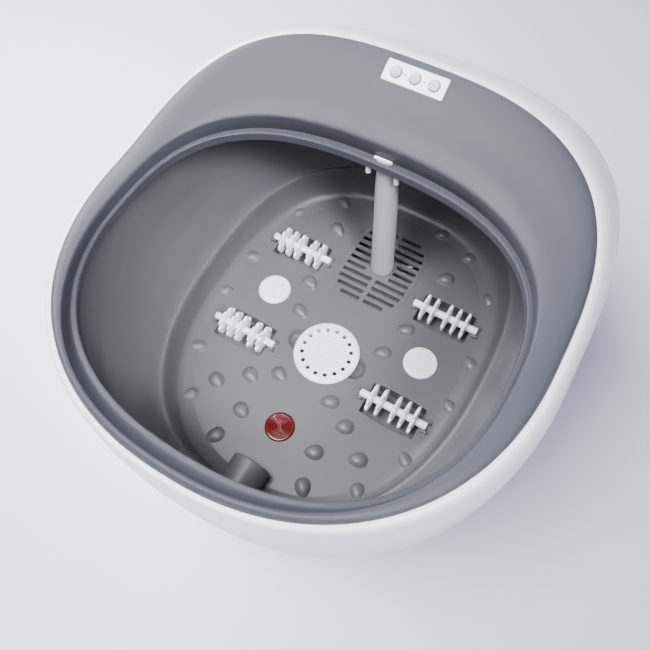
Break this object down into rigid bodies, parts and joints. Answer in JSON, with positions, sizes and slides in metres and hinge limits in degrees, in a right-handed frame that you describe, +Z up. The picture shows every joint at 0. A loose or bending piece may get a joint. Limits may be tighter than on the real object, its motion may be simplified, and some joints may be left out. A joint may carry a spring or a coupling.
{
  "type": "foot spa basin",
  "caption": "Free-standing foot bath with a heated tub, spiked massage rollers, a herb box, an infrared lens, a pump with a spray column and a sloping control deck.",
  "frame": {"origin": "on the table, in the middle of the footprint box", "axes": "+Z up, +Y towards the toes and the sloping deck, +X to the user's right"},
  "size_m": [0.4, 0.432, 0.281],
  "materials": {
    "white_shell": "semi-gloss moulded plastic",
    "white_trim": "semi-gloss moulded plastic",
    "pale_trim": "satin moulded plastic",
    "grey_tub": "satin moulded plastic",
    "grey_deck": "satin moulded plastic",
    "red_lens": "clear red plastic",
    "rubber": "soft rubber",
    "steel": "plated steel",
    "circuit_board": "coated board",
    "hose": "silicone hose",
    "black_plastic": "moulded plastic"
  },
  "bodies": {
    "basin": {"air_hose_left": "hose", "air_hose_right": "hose", "air_pump": "black_plastic", "base_plate": "pale_trim", "base_screw_1": "steel", "base_screw_2": "steel", "base_screw_3": "steel", "base_screw_4": "steel", "base_screw_5": "steel", "base_screw_6": "steel", "bubble_disc_left": "white_trim", "bubble_disc_right": "white_trim", "column_clip": "white_trim", "control_board": "circuit_board", "control_panel": "white_trim", "drain_seal": "rubber", "foot_1": "rubber", "foot_2": "rubber", "foot_3": "rubber", "foot_4": "rubber", "heater_rod": "steel", "herb_cup": "grey_tub", "infrared_lamp": "red_lens", "infrared_lens": "red_lens", "inner_tub": "grey_tub", "intake_grille": "grey_tub", "lamp_housing": "pale_trim", "outer_shell": "white_shell", "power_board": "circuit_board", "power_inlet": "black_plastic", "pump_motor": "steel", "roller_tray_front_left": "grey_tub", "roller_tray_front_right": "grey_tub", "roller_tray_rear_left": "grey_tub", "roller_tray_rear_right": "grey_tub", "spray_column": "pale_trim", "sump_tray": "grey_tub", "thermostat": "steel", "toe_roof": "grey_tub", "tub_seal": "rubber", "upper_frame": "grey_deck"},
    "roller_rear_left": {"roller_rear_left": "white_trim"},
    "roller_rear_right": {"roller_rear_right": "white_trim"},
    "roller_front_left": {"roller_front_left": "white_trim"},
    "roller_front_right": {"roller_front_right": "white_trim"},
    "impeller": {"pump_impeller": "pale_trim"},
    "herb_lid": {"herb_box_lid": "white_trim"},
    "drain_stopper": {"drain_plug": "grey_tub"},
    "heat_button": {"button_heat": "pale_trim"},
    "power_button": {"button_power": "pale_trim"},
    "bubble_button": {"button_bubble": "pale_trim"}
  },
  "joints": [
    {"name": "roller_rear_left_spin", "type": "hinge", "parent": "basin", "child": "roller_rear_left", "pos_m": [-0.0846, 0.072, 0.056], "axis": [1, 0, 0], "continuous": true},
    {"name": "roller_front_left_spin", "type": "hinge", "parent": "basin", "child": "roller_front_left", "pos_m": [-0.0846, -0.0403, 0.056], "axis": [1, 0, 0], "continuous": true},
    {"name": "roller_rear_right_spin", "type": "hinge", "parent": "basin", "child": "roller_rear_right", "pos_m": [0.0846, 0.072, 0.056], "axis": [1, 0, 0], "continuous": true},
    {"name": "roller_front_right_spin", "type": "hinge", "parent": "basin", "child": "roller_front_right", "pos_m": [0.0846, -0.0403, 0.056], "axis": [1, 0, 0], "continuous": true},
    {"name": "impeller_spin", "type": "hinge", "parent": "basin", "child": "impeller", "pos_m": [0, 0.067, 0.03], "axis": [0, 0, 1], "continuous": true},
    {"name": "herb_lid_lift", "type": "slide", "parent": "basin", "child": "herb_lid", "axis": [0, 0, 1], "range_m": [0, 0.06]},
    {"name": "drain_plug_pull", "type": "slide", "parent": "basin", "child": "drain_stopper", "axis": [0, -1, 0], "range_m": [0, 0.03]},
    {"name": "heat_button_press", "type": "slide", "parent": "basin", "child": "heat_button", "axis": [0, 0.5, -0.866], "range_m": [0, 0.0012], "stiffness_N_per_m": 400},
    {"name": "power_button_press", "type": "slide", "parent": "basin", "child": "power_button", "axis": [0, 0.5, -0.866], "range_m": [0, 0.0012], "stiffness_N_per_m": 400},
    {"name": "bubble_button_press", "type": "slide", "parent": "basin", "child": "bubble_button", "axis": [0, 0.5, -0.866], "range_m": [0, 0.0012], "stiffness_N_per_m": 400}
  ]
}
